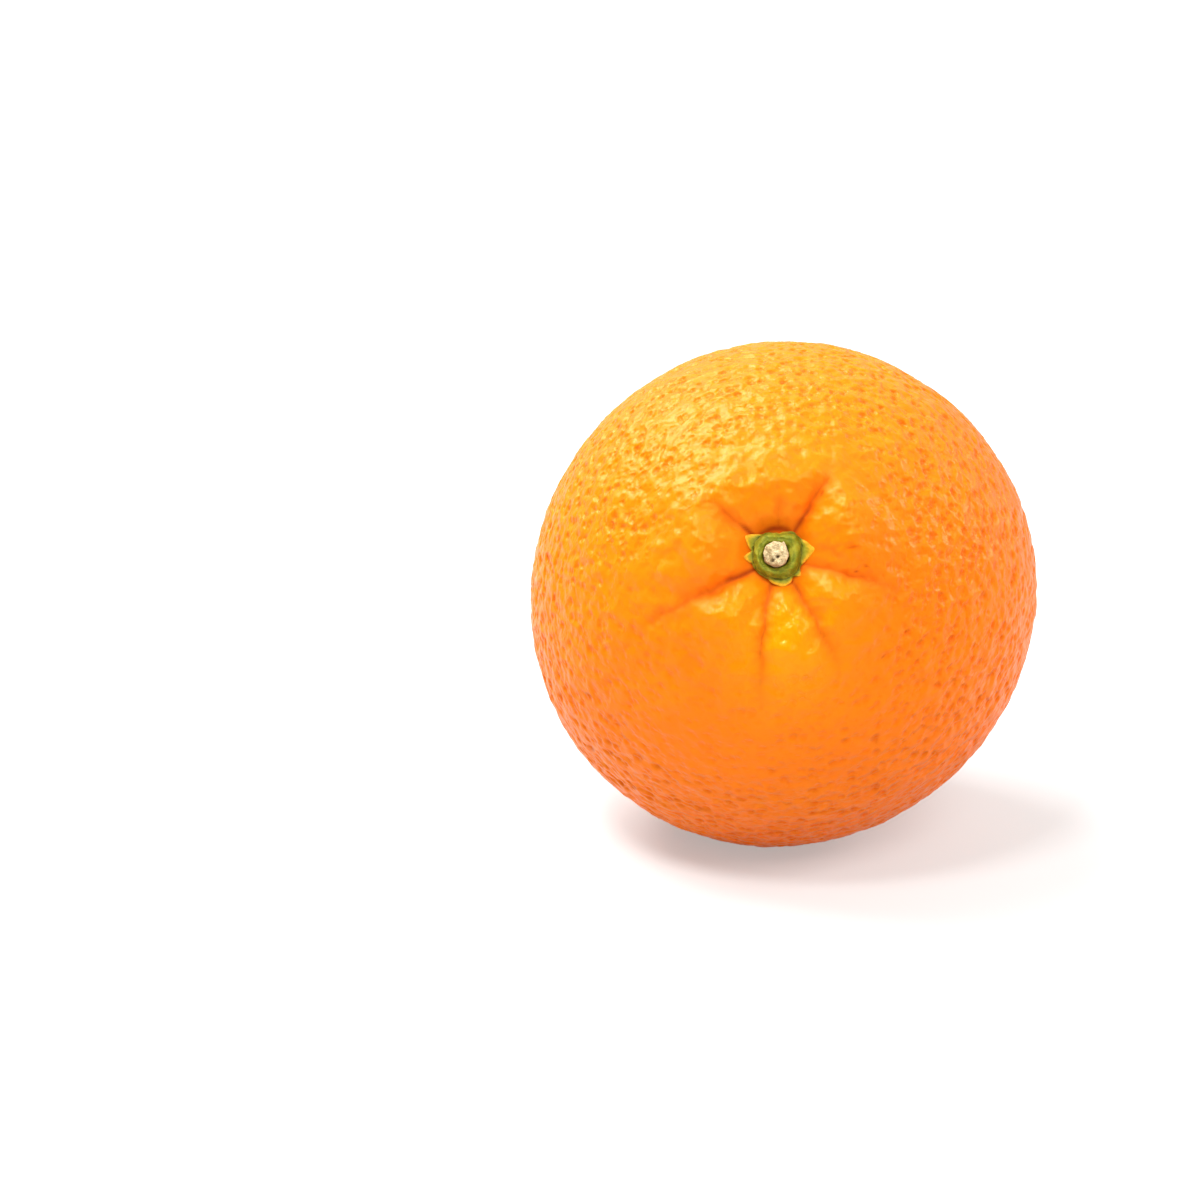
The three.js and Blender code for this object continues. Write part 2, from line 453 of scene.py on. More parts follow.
    def _speck_marks(self, distance: np.ndarray, direction: np.ndarray) -> np.ndarray:
        """Where the small brown marks are.

        Args:
            distance: the points' distances from the stem axis.
            direction: their directions around it, in radians.

        Returns:
            1 at the middle of a mark, falling to 0 around it.
        """
        speck = np.zeros_like(distance)
        for mark in self.specks:
            turn = turn_between(direction, math.radians(mark.angle))
            across = distance * np.sin(turn)
            along = distance * np.cos(turn) - mark.distance
            speck = np.maximum(speck, bell(across / mark.width) * bell(along / (mark.length / 2.0)))
        return speck

    def _pitting(self, distance: np.ndarray, direction: np.ndarray) -> np.ndarray:
        """How deep the oil glands are: shallow on the lobes, and full-sized farther out.

        Args:
            distance: the points' distances from the stem axis.
            direction: their directions around it, in radians.

        Returns:
            The share of their full depth.
        """
        uneven = 2.5 * np.sin(3.0 * direction + 1.0) + 1.5 * np.sin(7.0 * direction + distance / 4.0)
        pitting = self.pit_least + (1.0 - self.pit_least) * smoothstep(distance + uneven, *self.pit_start)
        smooth = self.smooth_share * on_side(direction, self.smooth_angle, self.smooth_spread)
        return pitting * (1.0 - smooth * (1.0 - smoothstep(distance, *self.smooth_end)))


@dataclass(frozen=True)
class Pose:
    """Where the leaning fruit lies in the frame."""

    form: FruitForm
    middle: Vector

    def placed(self, points: np.ndarray) -> np.ndarray:
        """Upright points in millimetres, leaned over and moved to their place, in metres."""
        turn = np.array(self.form.leaning.to_3x3())
        return points @ turn.T * MM + np.array(self.middle)


def find_pose(form: FruitForm) -> Pose:
    """Works out the middle of the fruit from the frame.

    Args:
        form: the fruit's shape.

    Returns:
        The pose that gives the shape's box the sides, back and top of the frame's fruit.
    """
    sides = np.random.default_rng(1).normal(size=(60000, 3))
    sides /= np.linalg.norm(sides, axis=1)[:, None]
    points = Pose(form, Vector((0, 0, 0))).placed(form.skin(sides))
    low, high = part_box(Node.FRUIT.value)
    middle_x = (low.x + high.x - points[:, 0].min() - points[:, 0].max()) / 2.0
    return Pose(form, Vector((middle_x, high.y - points[:, 1].max(), high.z - points[:, 2].max())))


class Wiring:
    """Adds nodes to a material's or a modifier's node tree and joins them."""

    def __init__(self, tree: bpy.types.NodeTree) -> None:
        """Keeps the tree, emptied."""
        self.tree = tree
        self.tree.nodes.clear()

    def add(self, kind: str, **settings: object) -> bpy.types.Node:
        """Adds a node with these settings.

        Args:
            kind: the node's type name.
            settings: its settings by name.

        Returns:
            The node.
        """
        node = self.tree.nodes.new(kind)
        for name, value in settings.items():
            setattr(node, name, value)
        return node

    def feed(self, socket: Socket, value: object) -> None:
        """Gives a socket a value, or links another node's output to it.

        Args:
            socket: the socket.
            value: the value or the other node's output.
        """
        if isinstance(value, bpy.types.NodeSocket):
            self.tree.links.new(value, socket)
        else:
            socket.default_value = value

    def math(self, operation: str, first: Value, second: Value = 0.0) -> Socket:
        """A sum on one or two numbers.

        Args:
            operation: the name of the sum.
            first: its first number.
            second: its second number, where it has one.

        Returns:
            The result's socket.
        """
        node = self.add("ShaderNodeMath", operation=operation)
        self.feed(node.inputs[0], first)
        self.feed(node.inputs[1], second)
        return node.outputs[0]

    def vector(self, operation: str, first: object, second: object = (0, 0, 0)) -> bpy.types.Node:
        """A sum on one or two vectors.

        Args:
            operation: the name of the sum.
            first: its first vector.
            second: its second vector, where it has one.

        Returns:
            The node, because some sums give a vector and some a number.
        """
        node = self.add("ShaderNodeVectorMath", operation=operation)
        self.feed(node.inputs[0], first)
        self.feed(node.inputs[1], second)
        return node

    def scaled(self, vector: Socket, by: Value) -> Socket:
        """A vector times a number.

        Args:
            vector: the vector.
            by: the number.

        Returns:
            The longer or shorter vector.
        """
        node = self.add("ShaderNodeVectorMath", operation="SCALE")
        self.feed(node.inputs[0], vector)
        self.feed(node.inputs["Scale"], by)
        return node.outputs[0]

    def noise(self, spot: Socket, length: float, detail: float = 2.0, rough: float = 0.5) -> bpy.types.Node:
        """Smooth noise whose lumps are about a length across.

        Args:
            spot: where it is read.
            length: the length, in the units of the spot.
            detail: how many finer layers are laid over it.
            rough: how strong each finer layer is.

        Returns:
            The noise node.
        """
        node = self.add("ShaderNodeTexNoise")
        self.feed(node.inputs["Vector"], spot)
        node.inputs["Scale"].default_value = 1.0 / length
        node.inputs["Detail"].default_value = detail
        node.inputs["Roughness"].default_value = rough
        return node

    def cells(self, spot: Socket, spacing: float, feature: str = "F1", even: float = 1.0) -> bpy.types.Node:
        """A cell pattern of points a spacing apart.

        Args:
            spot: where it is read.
            spacing: the spacing, in the units of the spot.
            feature: what is measured from the points.
            even: how unevenly the points lie, from 0 for a grid to 1.

        Returns:
            The cell node.
        """
        node = self.add("ShaderNodeTexVoronoi", feature=feature)
        self.feed(node.inputs["Vector"], spot)
        node.inputs["Scale"].default_value = 1.0 / spacing
        node.inputs["Randomness"].default_value = even
        return node

    def ramp(self, value: Value, low: Value, high: Value, to: tuple[Value, Value] = (0.0, 1.0)) -> Socket:
        """A smooth ramp from one number to another between two values.

        Args:
            value: the value that is read.
            low: where the ramp starts.
            high: where it ends.
            to: the numbers that it runs between.

        Returns:
            The ramp's socket.
        """
        node = self.add("ShaderNodeMapRange", interpolation_type="SMOOTHSTEP")
        self.feed(node.inputs["Value"], value)
        self.feed(node.inputs["From Min"], low)
        self.feed(node.inputs["From Max"], high)
        self.feed(node.inputs["To Min"], to[0])
        self.feed(node.inputs["To Max"], to[1])
        return node.outputs[0]

    def mix(self, share: Value, first: object, second: object) -> Socket:
        """One colour laid over another.

        Args:
            share: how much of the second colour shows.
            first: the colour below.
            second: the colour on top.

        Returns:
            The mixed colour.
        """
        node = self.add("ShaderNodeMix", data_type="RGBA")
        self.feed(node.inputs[0], share)
        self.feed(node.inputs[6], first)
        self.feed(node.inputs[7], second)
        return node.outputs[2]

    def carried(self, mask: Enum) -> Socket:
        """A value that the piece's points carry.

        Args:
            mask: the name of the value.

        Returns:
            Its socket.
        """
        if isinstance(self.tree, bpy.types.GeometryNodeTree):
            node = self.add("GeometryNodeInputNamedAttribute", data_type="FLOAT")
            node.inputs["Name"].default_value = mask.value
            return node.outputs["Attribute"]
        return self.add("ShaderNodeAttribute", attribute_name=mask.value).outputs["Fac"]

    def spot_from(self, middle: Vector) -> Socket:
        """The place of a point from a middle in metres, in millimetres."""
        place = self.add("ShaderNodeTexCoord").outputs["Object"]
        return self.scaled(self.vector("SUBTRACT", place, middle).outputs[0], 1.0 / MM)


@dataclass(frozen=True)
class Relief:
    """The fine relief of the peel: oil glands, smaller pores, the net of ridges between them and wrinkles.

    It is wired in the same way into the peel's mesh and into its material. Lengths are in millimetres.
    """

    gland_spacing: float = 1.5
    gland_radius: float = 1.02
    gland_depth: float = 0.38
    pore_spacing: float = 0.85
    pore_radius: float = 0.48
    pore_depth: float = 0.08
    net_spacing: float = 2.2
    net_height: float = 0.18
    net_edges: tuple[float, float] = (0.1, 0.75)
    wrinkle_length: float = 1.9
    wrinkle_height: float = 0.46
    lobe_wrinkles: float = 0.75
    lump_length: float = 3.6
    lump_height: float = 1.5
    lump_least: float = 0.25
    swell_length: float = 11.0
    swell_height: float = 0.5
    warp_length: float = 2.6
    warp: float = 0.9
    stretch: float = 0.4

    def wire(self, wiring: Wiring, place: Socket, pose: Pose) -> dict[str, Socket]:
        """Adds the relief's nodes to a tree.

        Args:
            wiring: the tree.
            place: the place of a point, in metres.
            pose: where the fruit lies.

        Returns:
            The sockets: spot, the place on a ball in millimetres; fine and broad, the heights of the glands
            and of the lumps in millimetres; and pit, from 0 between the glands to 1 inside them.
        """
        outward = wiring.vector("SUBTRACT", place, pose.middle).outputs[0]
        spot = wiring.scaled(wiring.vector("NORMALIZE", outward).outputs[0], pose.form.equator)
        axis = pose.form.leaning @ Vector((0.0, 0.0, 1.0))
        along = wiring.vector("PROJECT", spot, axis).outputs[0]
        drawn = wiring.vector("ADD", spot, wiring.scaled(along, self.stretch)).outputs[0]
        drift = wiring.noise(spot, self.warp_length).outputs["Color"]
        drift = wiring.vector("SUBTRACT", drift, (0.5, 0.5, 0.5)).outputs[0]
        bent = wiring.vector("ADD", drawn, wiring.scaled(drift, self.warp)).outputs[0]
        gland = self._dips(wiring, bent, self.gland_spacing, self.gland_radius)
        pore = self._dips(wiring, bent, self.pore_spacing, self.pore_radius)
        net = wiring.cells(bent, self.net_spacing, "SMOOTH_F1", 0.9)
        net.inputs["Smoothness"].default_value = 0.25
        ridge = wiring.ramp(net.outputs["Distance"], *self.net_edges)
        sunk = wiring.math("MULTIPLY", gland, -self.gland_depth)
        sunk = wiring.math("ADD", sunk, wiring.math("MULTIPLY", pore, -self.pore_depth))
        raised = wiring.math("MULTIPLY", ridge, self.net_height)
        wrinkle = wiring.math("SUBTRACT", wiring.noise(bent, self.wrinkle_length, 1.0, 0.5).outputs[0], 0.5)
        on_lobes = wiring.math("MULTIPLY", wiring.carried(Mask.LUMPING), self.lobe_wrinkles)
        wrinkling = wiring.math("MAXIMUM", wiring.carried(Mask.PITTING), on_lobes)
        wrinkled = wiring.math("MULTIPLY", wiring.math("MULTIPLY", wrinkle, self.wrinkle_height), wrinkling)
        fine = wiring.math("MULTIPLY", wiring.math("ADD", sunk, raised), wiring.carried(Mask.PITTING))
        fine = wiring.math("ADD", fine, wrinkled)
        lump = wiring.math("SUBTRACT", wiring.noise(spot, self.lump_length, 2.0, 0.55).outputs[0], 0.5)
        lump = wiring.math("MULTIPLY", lump, self.lump_height)
        lumping = wiring.math("MULTIPLY", wiring.carried(Mask.LUMPING), 1.0 - self.lump_least)
        lump = wiring.math("MULTIPLY", lump, wiring.math("ADD", lumping, self.lump_least))
        swell = wiring.math("SUBTRACT", wiring.noise(spot, self.swell_length, 1.0).outputs[0], 0.5)
        swell = wiring.math("MULTIPLY", swell, self.swell_height)
        pit = wiring.math("MAXIMUM", gland, wiring.math("MULTIPLY", pore, 0.5))
        pit = wiring.math("MULTIPLY", pit, wiring.carried(Mask.PITTING))
        return {"spot": spot, "fine": fine, "broad": wiring.math("ADD", lump, swell), "pit": pit}

    def _dips(self, wiring: Wiring, spot: Socket, spacing: float, radius: float) -> Socket:
        """Round dips of many sizes, as a value from 0 outside them to 1 at their middles.

        Args:
            wiring: the tree.
            spot: where the pattern is read, in millimetres.
            spacing: about how far apart the dips are.
            radius: the radius of the largest.

        Returns:
            The dips' socket.
        """
        cells = wiring.cells(spot, spacing)
        own = wiring.add("ShaderNodeSeparateXYZ")
        wiring.feed(own.inputs[0], cells.outputs["Color"])
        reach = wiring.ramp(own.outputs[0], 0.0, 1.0, (0.55 * radius / spacing, radius / spacing))
        depth = wiring.ramp(own.outputs[0], 0.0, 1.0, (0.35, 1.0))
        return wiring.math("MULTIPLY", wiring.ramp(cells.outputs["Distance"], reach, 0.0), depth)


@dataclass(frozen=True)
class PeelFinish:
    """Waxy orange peel: painted light makes it yellower towards the upper left and front, where the lights
    fall, and redder towards the lower right and back; it is also redder in random patches, and inside the
    glands by its own tint and by painted shade.
    """

    relief: Relief
    yellow: Colour = (0.97, 0.245, 0.002, 1.0)
    # Painted light on the lobes below the calyx.
    pale: Colour = (0.98, 0.35, 0.001, 1.0)
    orange: Colour = (0.95, 0.195, 0.001, 1.0)
    red: Colour = (0.93, 0.165, 0.003, 1.0)
    # The glands' own tint, darkened further by painted shade in their dips.
    gland: Colour = (0.90, 0.105, 0.001, 1.0)
    # Painted shade on the furrows' sides.
    furrow: Colour = (0.90, 0.115, 0.001, 1.0)
    # Painted shade in the creases.
    crease: Colour = (0.40, 0.035, 0.001, 1.0)
    speck: Colour = (0.45, 0.03, 0.001, 1.0)
    brown: Colour = (0.15, 0.035, 0.008, 1.0)
    sheen_of_wax: Colour = (1.0, 0.72, 0.24, 1.0)
    # The side that painted light makes yellower.
    lit_side: tuple[float, float, float] = (-0.45, -0.25, 0.86)
    patch_length: float = 14.0
    patch_strength: float = 0.9
    mottle_length: float = 2.2
    mottle_share: float = 0.35
    gland_tint_and_shade_share: float = 0.65
    lobe_light_share: float = 0.8
    furrow_shade_share: float = 0.5
    speck_share: float = 0.8
    roughness: float = 0.26
    mottle_roughness: float = 0.14
    pit_roughness: float = 0.15
    furrow_roughness: float = 0.40
    pale_gloss: float = 0.13
    grain_length: float = 0.35
    grain_height: float = 0.012
    bump_share: float = 0.95

    def build(self, pose: Pose) -> bpy.types.Material:
        """Makes the peel's material.

        Args:
            pose: where the fruit lies.

        Returns:
            The material.
        """
        material = bpy.data.materials.new("orange_peel")
        material.use_nodes = True
        wiring = Wiring(material.node_tree)
        place = wiring.add("ShaderNodeTexCoord").outputs["Object"]
        relief = self.relief.wire(wiring, place, pose)
        spot = relief["spot"]
        # Painted shade on the furrows' sides, which also makes them duller.
        furrow = wiring.carried(Mask.FURROW)
        mottle = wiring.noise(spot, self.mottle_length, 3.0, 0.6).outputs[0]

        # Painted light: yellower towards the upper left and front, where the lights fall, redder towards
        # the lower right and back, with random patches laid over it.
        outward = wiring.scaled(spot, 1.0 / pose.form.equator)
        side = wiring.vector("DOT_PRODUCT", outward, self.lit_side).outputs["Value"]
        patch = wiring.math("SUBTRACT", wiring.noise(spot, self.patch_length, 3.0).outputs[0], 0.5)
        side = wiring.math("ADD", side, wiring.math("MULTIPLY", patch, self.patch_strength))
        colour = wiring.mix(wiring.ramp(side, -0.75, 0.05), self.red, self.orange)
        colour = wiring.mix(wiring.ramp(side, 0.14, 0.92), colour, self.yellow)
        colour = wiring.mix(wiring.ramp(mottle, 0.42, 0.75, (0.0, self.mottle_share)), colour, self.red)
        # The glands' own tint with painted shade, painted light on the lower lobes, painted shade on the
        # furrows' sides and in the creases, then the brown scar and specks.
        marks = (
            (relief["pit"], self.gland_tint_and_shade_share, self.gland),
            (wiring.carried(Mask.PALE), self.lobe_light_share, self.pale),
            (furrow, self.furrow_shade_share, self.furrow),
            (wiring.carried(Mask.CREASE), 1.0, self.crease),
            (wiring.carried(Mask.SCAR), 1.0, self.brown),
            (wiring.carried(Mask.SPECK), self.speck_share, self.speck),
        )
        for where, share, mark in marks:
            colour = wiring.mix(wiring.math("MULTIPLY", where, share), colour, mark)

        rough = wiring.math("ADD", self.roughness, wiring.math("MULTIPLY", mottle, self.mottle_roughness))
        rough = wiring.math("ADD", rough, wiring.math("MULTIPLY", relief["pit"], self.pit_roughness))
        rough = wiring.math("ADD", rough, wiring.math("MULTIPLY", furrow, self.furrow_roughness))
        waxy = wiring.math("MULTIPLY", wiring.carried(Mask.PALE), self.pale_gloss)
        rough = wiring.math("SUBTRACT", rough, waxy)

        grain = wiring.noise(spot, self.grain_length, 2.0, 0.6).outputs[0]
        height = wiring.math("MULTIPLY", relief["fine"], self.bump_share * MM)
        height = wiring.math("ADD", height, wiring.math("MULTIPLY", grain, self.grain_height * MM))
        bump = wiring.add("ShaderNodeBump")
        bump.inputs["Strength"].default_value = 1.0
        bump.inputs["Distance"].default_value = 1.0
        wiring.feed(bump.inputs["Height"], height)

        shader = wiring.add("ShaderNodeBsdfPrincipled")
        wiring.feed(shader.inputs["Base Color"], colour)
        wiring.feed(shader.inputs["Roughness"], rough)
        wiring.feed(shader.inputs["Normal"], bump.outputs[0])
        shader.inputs["IOR"].default_value = 1.44
        shader.inputs["Specular Tint"].default_value = self.sheen_of_wax
        shader.inputs["Subsurface Weight"].default_value = 0.35
        shader.inputs["Subsurface Radius"].default_value = (1.0, 0.35, 0.08)
        shader.inputs["Subsurface Scale"].default_value = 0.9 * MM
        output = wiring.add("ShaderNodeOutputMaterial")
        wiring.feed(output.inputs["Surface"], shader.outputs[0])
        return material


@dataclass(frozen=True)
class CalyxFinish:
    """Leathery green of the calyx, browner where painted shade darkens its groove and socket, and yellow
    along the edges of the sepals.
    """

    green: Colour = (0.150, 0.185, 0.005, 1.0)
    light: Colour = (0.36, 0.34, 0.020, 1.0)
    dark: Colour = (0.045, 0.035, 0.003, 1.0)
    edge: Colour = (1.0, 0.50, 0.02, 1.0)
    tone_length: float = 1.2
    fleck_length: float = 0.35
    fleck_share: float = 0.4
    band_rate: float = 7.5
    band_waver: float = 11.0
    light_band_share: float = 0.28
    dark_band_share: float = 0.22
    fleck_height: float = 0.07
    band_height: float = 0.05

    def build(self, middle: Vector) -> bpy.types.Material:
        """Makes the calyx's material.

        Args:
            middle: the middle of the calyx, in metres.

        Returns:
            The material.
        """
        material = bpy.data.materials.new("calyx_green")
        material.use_nodes = True
        wiring = Wiring(material.node_tree)
        spot = wiring.spot_from(middle)
        tone = wiring.noise(spot, self.tone_length, 3.0, 0.6).outputs[0]
        fleck = wiring.noise(spot, self.fleck_length, 2.0, 0.6).outputs[0]
        colour = wiring.mix(wiring.ramp(tone, 0.35, 0.7), self.green, self.light)
        colour = wiring.mix(wiring.ramp(fleck, 0.55, 0.8, (0.0, self.fleck_share)), colour, self.dark)
        # Painted shade in the groove and the socket.
        colour = wiring.mix(wiring.carried(Trace.DIP), colour, self.dark)
        colour = wiring.mix(wiring.carried(Trace.EDGE), colour, self.edge)
        phase = wiring.math("MULTIPLY", wiring.carried(Trace.RADIUS), self.band_rate)
        phase = wiring.math("ADD", phase, wiring.math("MULTIPLY", tone, self.band_waver))
        band = wiring.math("SINE", phase)
        colour = wiring.mix(wiring.ramp(band, 0.1, 1.0, (0.0, self.light_band_share)), colour, self.light)
        colour = wiring.mix(wiring.ramp(band, -0.3, -1.0, (0.0, self.dark_band_share)), colour, self.dark)
        height = wiring.math("MULTIPLY", fleck, self.fleck_height * MM)
        height = wiring.math("ADD", height, wiring.math("MULTIPLY", band, self.band_height * MM))
        bump = wiring.add("ShaderNodeBump")
        bump.inputs["Distance"].default_value = 1.0
        wiring.feed(bump.inputs["Height"], height)
        shader = wiring.add("ShaderNodeBsdfPrincipled")
        wiring.feed(shader.inputs["Base Color"], colour)
        wiring.feed(shader.inputs["Roughness"], wiring.ramp(fleck, 0.3, 0.8, (0.42, 0.65)))
        wiring.feed(shader.inputs["Normal"], bump.outputs[0])
        shader.inputs["Specular Tint"].default_value = (1.0, 0.95, 0.4, 1.0)
        shader.inputs["Subsurface Weight"].default_value = 0.1
        shader.inputs["Subsurface Radius"].default_value = (0.5, 0.8, 0.1)
        shader.inputs["Subsurface Scale"].default_value = 0.4 * MM
        output = wiring.add("ShaderNodeOutputMaterial")
        wiring.feed(output.inputs["Surface"], shader.outputs[0])
        return material


@dataclass(frozen=True)
class StalkFinish:
    """Dry, pale cut wood with brown fibres, with painted shade in its holes and at its rim, and tanner
    towards its lower left as painted shade.
    """

    pale: Colour = (0.86, 0.67, 0.37, 1.0)
    tan: Colour = (0.50, 0.34, 0.15, 1.0)
    brown: Colour = (0.10, 0.06, 0.02, 1.0)
    # Painted shade: tanner towards the lower left.
    shaded_side: tuple[float, float, float] = (-0.6, 0.0, -0.8)
    shaded_side_share: float = 0.07
    tone_length: float = 0.8
    tan_share: float = 0.95
    fibre_length: float = 0.18
    fibre_share: float = 0.75
    fibre_height: float = 0.20

    def build(self, middle: Vector) -> bpy.types.Material:
        """Makes the stalk's material.

        Args:
            middle: the middle of the stalk, in metres.

        Returns:
            The material.
        """
        material = bpy.data.materials.new("cut_stalk")
        material.use_nodes = True
        wiring = Wiring(material.node_tree)
        spot = wiring.spot_from(middle)
        tone = wiring.noise(spot, self.tone_length, 4.0, 0.65).outputs[0]
        fibre = wiring.noise(spot, self.fibre_length, 2.0, 0.6).outputs[0]
        # Painted shade: tanner towards the lower left.
        shaded_side = wiring.vector("DOT_PRODUCT", spot, self.shaded_side).outputs["Value"]
        shade = wiring.math("ADD", tone, wiring.math("MULTIPLY", shaded_side, self.shaded_side_share))
        colour = wiring.mix(wiring.ramp(shade, 0.40, 0.62, (0.0, self.tan_share)), self.pale, self.tan)
        colour = wiring.mix(wiring.ramp(fibre, 0.55, 0.8, (0.0, self.fibre_share)), colour, self.brown)
        # Painted shade in the holes and at the rim.
        colour = wiring.mix(wiring.carried(Trace.DIP), colour, self.brown)
        bump = wiring.add("ShaderNodeBump")
        bump.inputs["Distance"].default_value = 1.0
        wiring.feed(bump.inputs["Height"], wiring.math("MULTIPLY", fibre, self.fibre_height * MM))
        shader = wiring.add("ShaderNodeBsdfPrincipled")
        wiring.feed(shader.inputs["Base Color"], colour)
        shader.inputs["Roughness"].default_value = 0.8
        wiring.feed(shader.inputs["Normal"], bump.outputs[0])
        output = wiring.add("ShaderNodeOutputMaterial")
        wiring.feed(output.inputs["Surface"], shader.outputs[0])
        return material


def only(piece: bpy.types.Object) -> None:
    """Makes a piece the only selected and the active object.

    Args:
        piece: the piece.
    """
    bpy.ops.object.select_all(action="DESELECT")
    piece.select_set(True)
    bpy.context.view_layer.objects.active = piece


def points_of(piece: bpy.types.Object) -> np.ndarray:
    """The points of a piece's mesh, one a row.

    Args:
        piece: the piece.

    Returns:
        The points.
    """
    flat = np.empty(3 * len(piece.data.vertices), np.float32)
    piece.data.vertices.foreach_get("co", flat)
    return flat.reshape(-1, 3).astype(float)


def move_points(piece: bpy.types.Object, points: np.ndarray) -> None:
    """Puts the points of a piece's mesh at new places."""
    piece.data.vertices.foreach_set("co", points.astype(np.float32).ravel())
    piece.data.update()


def carry(piece: bpy.types.Object, mask: Enum, values: np.ndarray) -> None:
    """Gives each point of a piece's mesh a value under a mask's name."""
    attribute = piece.data.attributes.new(mask.value, "FLOAT", "POINT")
    attribute.data.foreach_set("value", values.astype(np.float32))


def finish_piece(piece: bpy.types.Object, node: Node, material: bpy.types.Material) -> None:
    """Dresses a piece and ties it to the frame.

    Args:
        piece: the piece, in place.
        node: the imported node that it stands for.
        material: its material.
    """
    piece.data.materials.clear()
    piece.data.materials.append(material)
    only(piece)
    bpy.ops.object.shade_smooth()
    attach(piece, BODY)
    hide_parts(node.value)
    log.info("%s: %d points, %d faces", piece.name, len(piece.data.vertices), len(piece.data.polygons))


@dataclass
class Peel:
    """The fruit's skin: a ball pressed into the fruit's shape, with its relief in the mesh."""

    pose: Pose
    relief: Relief
    first_cuts: int = 10
    second_cuts: int = 10
    fine_radius: float = 13.0
    mesh_share: float = 0.8
    floor_softness: float = 0.25

    def build(self) -> bpy.types.Object:
        """Models the peel.

        Returns:
            The peel, in place.
        """
        bpy.ops.object.select_all(action="DESELECT")
        bpy.ops.mesh.primitive_cube_add(size=2.0)
        piece = bpy.context.active_object
        piece.name = "orange_peel"
        bpy.ops.object.mode_set(mode="EDIT")
        bpy.ops.mesh.select_all(action="SELECT")
        bpy.ops.mesh.subdivide(number_cuts=self.first_cuts)
        bpy.ops.mesh.subdivide(number_cuts=self.second_cuts)
        bpy.ops.object.mode_set(mode="OBJECT")
        self._refine(piece)
        cube = points_of(piece)
        ball = np.tan(cube * math.pi / 4.0)
        towards = ball / np.linalg.norm(ball, axis=1)[:, None]
        for mask, values in self.pose.form.masks(towards).items():
            carry(piece, mask, values)
        move_points(piece, self.pose.placed(self.pose.form.skin(towards)))
        self._press_relief(piece)
        self._rest_on_floor(piece)
        return piece

    def _refine(self, piece: bpy.types.Object) -> None:
        """Divides the faces near the calyx once more.

        Args:
            piece: the cube, before it is made round.
        """
        mesh = piece.data
        only(piece)
        bpy.ops.object.mode_set(mode="EDIT")
        bpy.ops.mesh.select_mode(type="FACE")
        bpy.ops.mesh.select_all(action="DESELECT")
        bpy.ops.object.mode_set(mode="OBJECT")
        limit = math.tan(self.fine_radius / self.pose.form.equator)
        for face in mesh.polygons:
            near = face.center.z > 0.999
            x, y = (math.tan(v * math.pi / 4.0) for v in face.center.xy)
            face.select = near and math.hypot(x, y) < limit
        bpy.ops.object.mode_set(mode="EDIT")
        bpy.ops.mesh.subdivide(number_cuts=1)
        bpy.ops.object.mode_set(mode="OBJECT")

    def _press_relief(self, piece: bpy.types.Object) -> None:
        """Presses the relief into the mesh.

        Args:
            piece: the peel, in place.
        """
        group = bpy.data.node_groups.new("peel_relief", "GeometryNodeTree")
        group.interface.new_socket(name="Geometry", in_out="INPUT", socket_type="NodeSocketGeometry")
        group.interface.new_socket(name="Geometry", in_out="OUTPUT", socket_type="NodeSocketGeometry")
        wiring = Wiring(group)
        place = wiring.add("GeometryNodeInputPosition").outputs[0]
        sockets = self.relief.wire(wiring, place, self.pose)
        height = wiring.math("MULTIPLY", sockets["fine"], self.mesh_share)
        height = wiring.math("ADD", height, sockets["broad"])
        normal = wiring.add("GeometryNodeInputNormal").outputs[0]
        push = wiring.scaled(normal, wiring.math("MULTIPLY", height, MM))
        moved = wiring.add("GeometryNodeSetPosition")
        wiring.feed(moved.inputs["Geometry"], wiring.add("NodeGroupInput").outputs[0])
        wiring.feed(moved.inputs["Offset"], push)
        wiring.feed(wiring.add("NodeGroupOutput").inputs[0], moved.outputs[0])
        modifier = piece.modifiers.new("relief", "NODES")
        modifier.node_group = group
        only(piece)
        bpy.ops.object.modifier_apply(modifier=modifier.name)
        bpy.data.node_groups.remove(group)

    def _rest_on_floor(self, piece: bpy.types.Object) -> None:
        """Flattens the lowest part softly, so that nothing is under the floor.

        Args:
            piece: the peel, in place.
        """
        points = points_of(piece)
        soft = self.floor_softness * MM
        points[:, 2] = soft * np.logaddexp(0.0, points[:, 2] / soft)
        points[:, 2] -= points[:, 2].min()
        move_points(piece, points)


@dataclass(frozen=True)
class Sepal:
    """A pointed lobe of the calyx, in degrees and millimetres."""

    angle: float
    reach: float
    half_width: float
    sharp: float = 1.0


